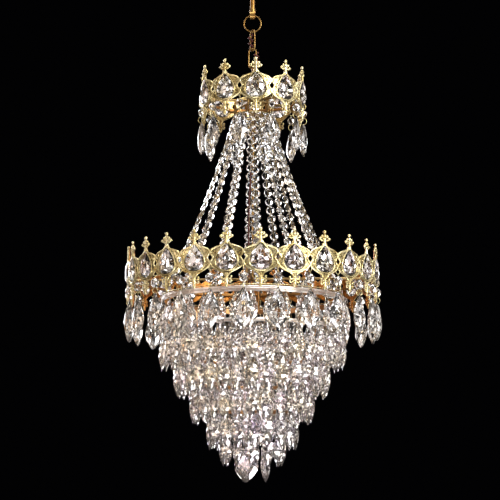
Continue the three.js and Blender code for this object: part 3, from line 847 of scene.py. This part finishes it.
def strand_points(count):
    """Points evenly spaced down one strand, as (radius, z), on a curve that sags inwards."""
    low, high = box_mm("bead_strands")
    start = np.array([STRAND_TOP_RADIUS, high.z - STRAND_TOP_WIRE])
    end = np.array([BAND_RADIUS, low.z + STRAND_TOP_WIRE])
    middle = (start + end) / 2 - np.array([STRAND_SAG, 0])
    t = np.linspace(0, 1, 401)[:, None]
    curve = (1 - t) ** 2 * start + 2 * t * (1 - t) * middle + t * t * end
    run = np.concatenate([[0], np.cumsum(np.linalg.norm(np.diff(curve, axis=0), axis=1))])
    wanted = np.linspace(0, run[-1], count)
    return np.column_stack([np.interp(wanted, run, curve[:, k]) for k in (0, 1)])


def octagon_bead():
    """A flat eight-sided bead with a table on each face, lying in the XZ plane."""
    corners = [TURN * (k + 0.5) / 8 for k in range(8)]
    outline = [(BEAD_RADIUS * math.sin(a), BEAD_RADIUS * math.cos(a)) for a in corners]
    levels = [(BEAD_TABLE, -BEAD_DEPTH), (1.0, -BEAD_GIRDLE), (1.0, BEAD_GIRDLE), (BEAD_TABLE, BEAD_DEPTH)]
    return flat_gem(outline, (0, 0), levels)


def bead_strands():
    """Strands of beads, with a small spacer between beads and a ring at each end of the strands."""
    dice = random.Random(STRAND_SEED)
    bead = octagon_bead()
    beads, wires = Shape(), Shape()
    path = strand_points(2 * BEADS + 1)
    for s in range(STRAND_COUNT):
        turn = turned(STRAND_FIRST + s * 360 / STRAND_COUNT)
        for i in range(BEADS):
            before, (r, z), after = path[2 * i:2 * i + 3]
            lean = math.degrees(math.atan2(after[0] - before[0], before[1] - after[1]))
            spin = turned(dice.uniform(-9, 9))
            beads.merge(bead, spin, tipped(-lean), moved(0, -r, z), turn)
        wires.merge(tube([(0, -r, z) for r, z in path], STRAND_WIRE, 5), turn)
        for r, z in path[::2]:
            wires.merge(ball((0, -r, z), BEAD_SPACER, 4, 6), turn)
    wires.merge(level_ring(*path[0], STRAND_TOP_WIRE, 32))
    wires.merge(level_ring(*path[-1], STRAND_FOOT_WIRE, 96))
    piece("strand_beads", beads, BEAD_CRYSTAL, "chandelier", ["bead_strands"], smooth=False)
    piece("strand_wires", wires, GILT, "chandelier")


bead_strands()


# ------------ basket of tiers

# The lower tiers take the lighter basket crystal, as painted light.
TIERS = {  # from the top: how many drops, and their crystal
    "a": (36, UPPER_BASKET), "b": (38, UPPER_BASKET), "c": (32, MIDDLE_BASKET), "d": (26, MIDDLE_BASKET),
    "e": (18, LOWER_BASKET), "f": (12, LOWER_BASKET),
}
TIER_SEED = 40
TIER_DEEP = 0.8           # from the tier's wire out to the face of its drops
TIER_WIRE, TIER_WIRE_DEPTH = 0.12, 0.15
TIER_HANG = 0.9           # from the tier's wire down to the top of its drops
SPEAR_HALF, SPEAR_DEEP = 1.95, 1.15
HOOK_RADIUS, HOOK_WIRE, HOOK_RISE = 0.42, 0.07, 0.48
INNER_ROWS = "bcde"       # the tiers that have a second row of drops further in
INNER_ROW_SET_IN = 2.4

HOOP_SET_IN, HOOP_THICKNESS, HOOP_HALF_HEIGHT = 1.0, 0.4, 0.5
RIB_FIRST, RIB_COUNT, RIB_RADIUS = -49, 4, 0.22


def tier(letter, seed):
    """One tier of spear drops on its wire. Gives back the wire's radius and height."""
    node = f"crystal_tier_{letter}"
    count, glass = TIERS[letter]
    low, high = box_mm(node)
    radius = mean_radius(node) - TIER_DEEP
    top_z = high.z - TIER_WIRE_DEPTH
    dice = random.Random(seed)
    crystals, wires = Shape(), Shape()
    hook = ring(HOOK_RADIUS, HOOK_WIRE, 5, 12)
    spear = briolette(SPEAR, SPEAR_HALF, top_z - low.z - TIER_HANG, SPEAR_DEEP)
    rows = [(radius, 0.0)]
    if letter in INNER_ROWS:
        rows.append((radius - INNER_ROW_SET_IN, 0.5))
    for reach, half_step in rows:
        for k in range(count):
            twist = turned(dice.uniform(-30, 30))
            lean = tipped(dice.uniform(-3, 3), dice.uniform(-4, 4))
            turn = turned(360 * (k + half_step) / count)
            hang_z = top_z - TIER_HANG + half_step * dice.uniform(0.6, 1.6)
            crystals.merge(spear, twist, lean, moved(0, -reach, hang_z), turn)
            wires.merge(hook, crosswise, moved(0, -reach, hang_z + HOOK_RISE), turn)
    wires.merge(level_ring(radius, top_z, TIER_WIRE, 96))
    piece(f"tier_{letter}_drops", crystals, glass, "chandelier", [node], smooth=False)
    piece(f"tier_{letter}_wire", wires, BRIGHT, "chandelier")
    return radius, top_z


def broad_hoop():
    low, high = box_mm("cascade_top_hoop")
    hoop = band(BAND_RADIUS, BAND_THICKNESS, high.z, low.z, 0.12, 144)
    piece("broad_hoop", hoop, BRIGHT, "chandelier", ["cascade_top_hoop"], sharp=30)


def basket_hoops(places):
    """The smaller hoops inside the tiers, the ribs that join them, and the collar at the ribs' foot."""
    shape = Shape()
    line = [(BAND_RADIUS - 0.5, box_mm("cascade_top_hoop")[0].z + 0.3)]
    for radius, z in places:
        shape.merge(band(radius - HOOP_SET_IN, HOOP_THICKNESS, z + HOOP_HALF_HEIGHT, z - HOOP_HALF_HEIGHT))
        line.append((radius - HOOP_SET_IN - 0.25, z))
    foot_z = line[-1][1] + 1.8
    line.append((0.8, foot_z))
    rib = tube(smooth_line([(0, -r, z) for r, z in line], 4), RIB_RADIUS)
    shape.merge(around(rib, [RIB_FIRST + 360 * k / RIB_COUNT for k in range(RIB_COUNT)]))
    shape.merge(band(0.75, 0.5, foot_z + 0.7, foot_z - 0.7, steps=24))
    piece("basket_hoops", shape, BRIGHT, "chandelier", ["basket_frame"], sharp=40)


tier_places = [tier(letter, TIER_SEED + i) for i, letter in enumerate(TIERS)]
broad_hoop()
basket_hoops(tier_places[1:])


# ------------ spiders and stem

SPIDER_HOOP_DEPTH, SPIDER_HOOP_HEIGHT = 8.7, 0.8  # below the crown's top, and its own height
SPIDER_HOOP_SET_IN = 0.9
SPOKE_RADIUS, POST_RADIUS = 0.36, 0.3


def spider(name, crown, node, spoke_angles, post_reach):
    """A hub, spokes and a hoop inside a crown, with a post under each spoke."""
    rim_top = crown.top_z - SPIDER_HOOP_DEPTH
    rim_bottom = rim_top - SPIDER_HOOP_HEIGHT
    outer = crown.radius - SPIDER_HOOP_SET_IN
    spoke_z = (rim_top + rim_bottom) / 2
    shape = band(outer - 0.25, 0.5, rim_top, rim_bottom)
    shape.merge(band(1.05, 1.1, rim_top, rim_bottom, 0.25, 32))
    arm = tube([(0, -1.2, spoke_z), (0, -outer + 0.3, spoke_z)], SPOKE_RADIUS, 10)
    arm.merge(tube([(0, -post_reach, spoke_z), (0, -post_reach, box_mm(node)[0].z)], POST_RADIUS, 10))
    shape.merge(around(arm, spoke_angles))
    piece(name, shape, INNER_BRASS, "chandelier", [node], sharp=40)


def stem():
    """The upright rod, with an eye at its top, a knob at each end and a hook ring at its foot."""
    eye, hook = 1.2, 0.75
    low_z = box_mm("central_stem")[0].z
    eye_z = joint_z("chandelier_swing") - eye
    top_z, foot_z = eye_z - eye, low_z + 1.9
    shape = changed(ring(eye, 0.3, 10, 28), crosswise, moved(0, 0, eye_z))
    shape.merge(tube([(0, 0, top_z), (0, 0, (eye_z + foot_z) / 2), (0, 0, foot_z)], 0.26, 16))
    shape.merge(ball((0, 0, top_z - 0.5), (0.7, 0.7, 0.5), 8, 16))
    shape.merge(ball((0, 0, foot_z + 0.3), (0.62, 0.62, 0.5), 8, 16))
    shape.merge(ring(hook, 0.2, 8, 20), moved(0, 0, low_z + hook + 0.2))
    piece("stem_and_eye", shape, STEM_BRASS, "chandelier", ["central_stem"], sharp=50)


spider("upper_spider_frame", UPPER, "upper_spider", UPPER.gap_angles[::2], STRAND_TOP_RADIUS)
spider("lower_spider_frame", LOWER, "lower_spider", LOWER.gap_angles[::6], BAND_RADIUS - 1.05)
stem()


# ------------ hanger, ring, links and flex

KNUCKLE_HALF_WIDTH, KNUCKLE_HALF_DEPTH, KNUCKLE_HALF_HEIGHT = 0.75, 1.12, 1.15
KNUCKLE_BORE = 0.5
ROD_RADIUS, COLLAR_RADIUS = 0.66, 0.84
RING_RADIUS, RING_WIRE = 2.45, 0.17
LINK_HALF, LINK_WIRE = 1.075, 0.19
UPPER_LINK_TURN, LOWER_LINK_TURN = -55, 0
FLEX_RADIUS, FLEX_GAP, FLEX_TURNS = 0.26, 0.06, 2.5
INNER_FLEX_RADIUS, INNER_FLEX_REACH = 0.2, 2.3


def knuckle(centre_z, steps=28):
    """A block with rounded outline and a bore across it, along X."""
    circle = [(math.cos(TURN * k / steps), math.sin(TURN * k / steps)) for k in range(steps)]
    outer = [(KNUCKLE_HALF_DEPTH * c, KNUCKLE_HALF_HEIGHT * s) for c, s in circle]
    bore = [(KNUCKLE_BORE * c, KNUCKLE_BORE * s) for c, s in circle]
    points, faces = [], []
    for x, outline in ((-1, outer), (-1, bore), (1, bore), (1, outer)):
        points += [(x * KNUCKLE_HALF_WIDTH, y, centre_z + z) for y, z in outline]
    for layer in range(4):
        a, b = layer * steps, ((layer + 1) % 4) * steps
        faces += [[a + k, a + (k + 1) % steps, b + (k + 1) % steps, b + k] for k in range(steps)]
    return Shape().add(points, faces)


def hanger():
    """The rod with a collar, and the pierced knuckle at its foot."""
    top_z = box_mm("hanger_rod")[1].z
    bore_z = joint_z("ring_swing")
    foot_z = bore_z + 0.6
    shape = lathe([
        (0.0, top_z), (ROD_RADIUS - 0.04, top_z), (ROD_RADIUS, top_z - 0.1), (ROD_RADIUS, bore_z + 1.9),
        (COLLAR_RADIUS, bore_z + 1.7), (COLLAR_RADIUS, foot_z), (0.0, foot_z),
    ], 32)
    shape.merge(knuckle(bore_z))
    piece("rod", shape, BRASS, "hanger", ["hanger_rod"], sharp=35)


def hanger_ring():
    shape = changed(ring(RING_RADIUS, RING_WIRE, 10, 48), moved(0, 0, joint_z("ring_swing") - RING_RADIUS))
    piece("jump_ring", shape, BRASS, "ring", ["hanger_ring"])


def chain_link(name, body, node, turn):
    """An oval link as tall as its CAD node."""
    low, high = box_mm(node)
    middle_z = (low.z + high.z) / 2
    stretch = (high.z - low.z) / 2 - LINK_WIRE - LINK_HALF
    shape = changed(ring(LINK_HALF, LINK_WIRE, 10, 40, stretch), moved(0, 0, middle_z), turned(turn))
    piece(name, shape, BRASS, body, [node])


def wound_flex(name, body, node, link_turn, side):
    """Flex wound round one long wire of a chain link, from the link's top to its bottom."""
    low, high = box_mm(node)
    top_z, bottom_z = high.z - FLEX_RADIUS, low.z + FLEX_RADIUS
    reach = LINK_WIRE + FLEX_RADIUS + FLEX_GAP
    path = []
    steps = 60
    for i in range(steps + 1):
        share = i / steps
        a = TURN * FLEX_TURNS * share
        path.append((side * LINK_HALF + reach * math.cos(a), reach * math.sin(a),
                     top_z + share * (bottom_z - top_z)))
    wound = changed(tube(path, FLEX_RADIUS, 10), turned(link_turn))
    piece(name, wound, FLEX, body, [node])


def inner_flex():
    """The flex beside the stem: straight down through the upper crown, then over to the lamp's side."""
    low, high = box_mm("supply_flex")
    top_side, lamp_side = 165.6, 206
    bend_z = UPPER.hinge_z - 6.3
    stops = [
        (top_side, high.z - 0.2), (top_side, bend_z), (lamp_side, bend_z - 23.2), (lamp_side, low.z + 0.2),
    ]
    knots = [(INNER_FLEX_REACH * math.sin(math.radians(a)), -INNER_FLEX_REACH * math.cos(math.radians(a)), z)
             for a, z in stops]
    shape = tube(smooth_line(knots, 8), INNER_FLEX_RADIUS)
    piece("flex_inside", shape, FLEX, "chandelier", ["supply_flex"])


hanger()
hanger_ring()
chain_link("upper_link_wire", "upper_link", "upper_chain_link", UPPER_LINK_TURN)
chain_link("lower_link_wire", "lower_link", "lower_chain_link", LOWER_LINK_TURN)
wound_flex("flex_upper", "upper_link", "flex_on_upper_link", UPPER_LINK_TURN, -1)
wound_flex("flex_lower", "lower_link", "flex_on_lower_link", LOWER_LINK_TURN, 1)
inner_flex()


# ------------ lamp and bottom drops

BULB = box_mm("lamp_bulb")
LAMP_X, LAMP_Y = (BULB[0].x + BULB[1].x) / 2, (BULB[0].y + BULB[1].y) / 2
BIG_DROP_HALF, BIG_DROP_LENGTH, BIG_DROP_DEEP = 3.75, 10.9, 1.35
BIG_DROP_FIRST, BIG_DROP_REACH = -28, 3.6
CLUSTER_RING, CLUSTER_RING_WIRE, CLUSTER_WIRE = 0.75, 0.18, 0.16


def bulb():
    """A lamp bulb with a neck at the top and a round end below."""
    low, high = BULB
    radius = (high.x - low.x) / 2
    profile = [(0.0, high.z), (0.8 * radius, high.z), (radius, high.z - 0.6)]
    steps = 8
    for i in range(steps + 1):
        a = TURN / 4 * i / steps
        profile.append((radius * math.cos(a), low.z + radius - radius * math.sin(a)))
    shape = changed(lathe(profile, 24), moved(LAMP_X, LAMP_Y, 0))
    piece("bulb", shape, LAMP, "chandelier", ["lamp_bulb"], sharp=50)


def lamp_holder():
    """A capped cup over the bulb, on an arm from a collar round the stem."""
    low, high = box_mm("lamp_holder")
    cap, lip, arm_z = high.z - 0.2, 1.25, high.z - 0.6
    cup = band(1.05, 0.4, high.z - 0.4, low.z, steps=32)
    cup.merge(lathe([(0.0, cap), (lip - 0.15, cap), (lip, cap - 0.15), (lip, arm_z), (0.0, arm_z)], 32))
    shape = changed(cup, moved(LAMP_X, LAMP_Y, 0))
    shape.merge(band(0.75, 0.5, high.z, high.z - 1.2, steps=24))
    shape.merge(tube([(0.25 * LAMP_X, 0.25 * LAMP_Y, arm_z), (LAMP_X, LAMP_Y, arm_z)], 0.33))
    piece("socket", shape, SOCKET, "chandelier", ["lamp_holder"], sharp=40)


def bottom_cluster():
    """Three large drops that lean out from one ring."""
    pivot_z = joint_z("bottom_cluster_swing")
    top_z = box_mm("bottom_drops")[0].z + BIG_DROP_LENGTH
    ring_foot_z = pivot_z - 2 * CLUSTER_RING
    big = almond_drop(BIG_DROP_HALF, BIG_DROP_LENGTH, BIG_DROP_DEEP)
    arm = tube([(0, 0, ring_foot_z), (0, -BIG_DROP_REACH, top_z - 0.2)], CLUSTER_WIRE, 6)
    angles = [BIG_DROP_FIRST + 120 * k for k in range(3)]
    drops = around(changed(big, moved(0, -BIG_DROP_REACH, top_z)), angles)
    wires = around(arm, angles)
    top_ring = ring(CLUSTER_RING, CLUSTER_RING_WIRE, 8, 20)
    wires.merge(top_ring, crosswise, moved(0, 0, pivot_z - CLUSTER_RING))
    # The bottom drops take the lightest basket crystal, painted light.
    piece("bottom_crystals", drops, LOWER_BASKET, "bottom_cluster", ["bottom_drops"], smooth=False)
    piece("bottom_wires", wires, BRIGHT, "bottom_cluster")


bulb()
lamp_holder()
bottom_cluster()


# ------------ stage, light and camera

FLOOR_Z, FLOOR_REACH, FLOOR_SIDES = -0.50, 2.0, 96
FLOOR_TONES = [(0.3, (0.88, 0.87, 0.85)), (0.7, (0.91, 0.90, 0.88))]
FLOOR_IN_GLASS = (0.10, 0.095, 0.09)  # how dark the floor looks when it is seen through or in the object

BACKDROP_DIRECTION = (0.0, 0.985, 0.17)
BACKDROP_EDGE, BACKDROP_END = 0.955, 0.87  # where the dark backdrop starts to fade, and where it is gone
BACKDROP_IN_GLASS = (0.003, 0.003, 0.004)
BACKDROP = (0.0006, 0.0006, 0.0008)
PANEL_SCALE, LAMP_SCALE = 5.0, 5.5
PANEL_TONES = [(0.54, (0.004, 0.004, 0.005)), (0.57, (0.45, 0.41, 0.39)), (0.60, (2.4, 2.26, 2.16))]
LAMP_TONES = [(0.10, (6.0, 5.7, 5.4)), (0.17, (0.0, 0.0, 0.0))]
SIDE_TONES = [(0.1, (0.60, 0.50, 0.40)), (0.62, (1.05, 1.05, 1.05))]  # from the left to the right

MIDDLE, BASKET = (0, 0, -0.08), (0, 0, -0.12)
LIGHTS = {  # place, what it points at, size, power and colour
    "key": ((0.40, -0.45, 0.12), MIDDLE, (0.16, 0.16), 3.2, (1.0, 0.95, 0.84)),
    "fill": ((-0.5, -0.30, -0.05), MIDDLE, (0.2, 0.3), 0.4, (1.0, 0.86, 0.78)),
    "low": ((0.05, -0.30, -0.36), BASKET, (0.25, 0.2), 1.4, (1.0, 0.97, 1.0)),
    "top": ((0.05, 0.0, 0.4), MIDDLE, (0.2, 0.2), 1.6, (1.0, 0.97, 0.92)),
    "back": ((-0.25, 0.5, 0.1), MIDDLE, (0.2, 0.3), 1.5, (0.92, 0.94, 1.0)),
}

CAMERA_PLACE = (-0.00074, -0.5387, -0.165)
CAMERA_TILT = 9.06
LENS_MM, SENSOR_MM = 138.6, 36
NEAREST = 0.01
BOUNCES = 24  # enough for light to cross the rows of crystals


def floor():
    """A plain pale round floor."""
    mesh = bpy.data.meshes.new("floor")
    angles = [TURN * k / FLOOR_SIDES for k in range(FLOOR_SIDES)]
    rim = [(FLOOR_REACH * math.cos(a), FLOOR_REACH * math.sin(a), FLOOR_Z) for a in angles]
    mesh.from_pydata(rim, [], [list(range(FLOOR_SIDES))])
    material, graph, shader = new_material("pale_floor")
    tone = graph.ramp(graph.noise(0.02), FLOOR_TONES)
    tone = graph.mixed(graph.camera_ray(), FLOOR_IN_GLASS, tone)
    graph.fill(shader, {"Base Color": tone, "Roughness": 0.7})
    mesh.materials.append(material)
    item = bpy.data.objects.new("floor", mesh)
    bpy.context.scene.collection.objects.link(item)


def area_light(name, place, aim, size, power, colour):
    data = bpy.data.lights.new(name, "AREA")
    data.shape = "RECTANGLE"
    data.size, data.size_y = size
    data.energy = power
    data.color = colour
    item = bpy.data.objects.new(name, data)
    item.location = place
    item.rotation_euler = (Vector(aim) - Vector(place)).to_track_quat("-Z", "Y").to_euler()
    bpy.context.scene.collection.objects.link(item)


def world():
    """Near-black behind the object, with soft panels and small lamps that only its metal and glass see."""
    studio = bpy.data.worlds.new("studio")
    bpy.context.scene.world = studio
    graph = Graph(studio)
    direction = graph.place("Generated")
    patches = graph.add("TexNoise", {"Vector": direction, "Scale": PANEL_SCALE, "Detail": 1.0})
    cells = graph.add("TexVoronoi", {"Vector": direction, "Scale": LAMP_SCALE})
    panels = graph.ramp(patches.outputs["Fac"], PANEL_TONES)
    lamps = graph.ramp(cells.outputs["Distance"], LAMP_TONES)
    across = graph.add("SeparateXYZ", {"Vector": direction}).outputs["X"]
    side = graph.ramp(graph.share(across, -1.0, 1.0), SIDE_TONES)
    shaded = graph.mixed(1.0, graph.mixed(1.0, panels, lamps, "ADD"), side, "MULTIPLY")
    lit = graph.share(graph.dot(direction, BACKDROP_DIRECTION), BACKDROP_EDGE, BACKDROP_END)
    in_glass = graph.mixed(lit, BACKDROP_IN_GLASS, shaded)
    seen = graph.mixed(graph.camera_ray(), in_glass, BACKDROP)
    graph.fill(graph.nodes["Background"], {"Color": seen, "Strength": 1.0})


def camera():
    data = bpy.data.cameras.new("camera")
    data.lens = LENS_MM
    data.sensor_width = SENSOR_MM
    data.clip_start = NEAREST
    item = bpy.data.objects.new("camera", data)
    item.location = CAMERA_PLACE
    item.rotation_euler = (math.radians(90 + CAMERA_TILT), 0, 0)
    bpy.context.scene.collection.objects.link(item)
    bpy.context.scene.camera = item


floor()
world()
for light, settings in LIGHTS.items():
    area_light(light, *settings)
bpy.context.scene.view_settings.view_transform = "Standard"
bpy.context.scene.cycles.max_bounces = BOUNCES
bpy.context.scene.cycles.transmission_bounces = BOUNCES
camera()
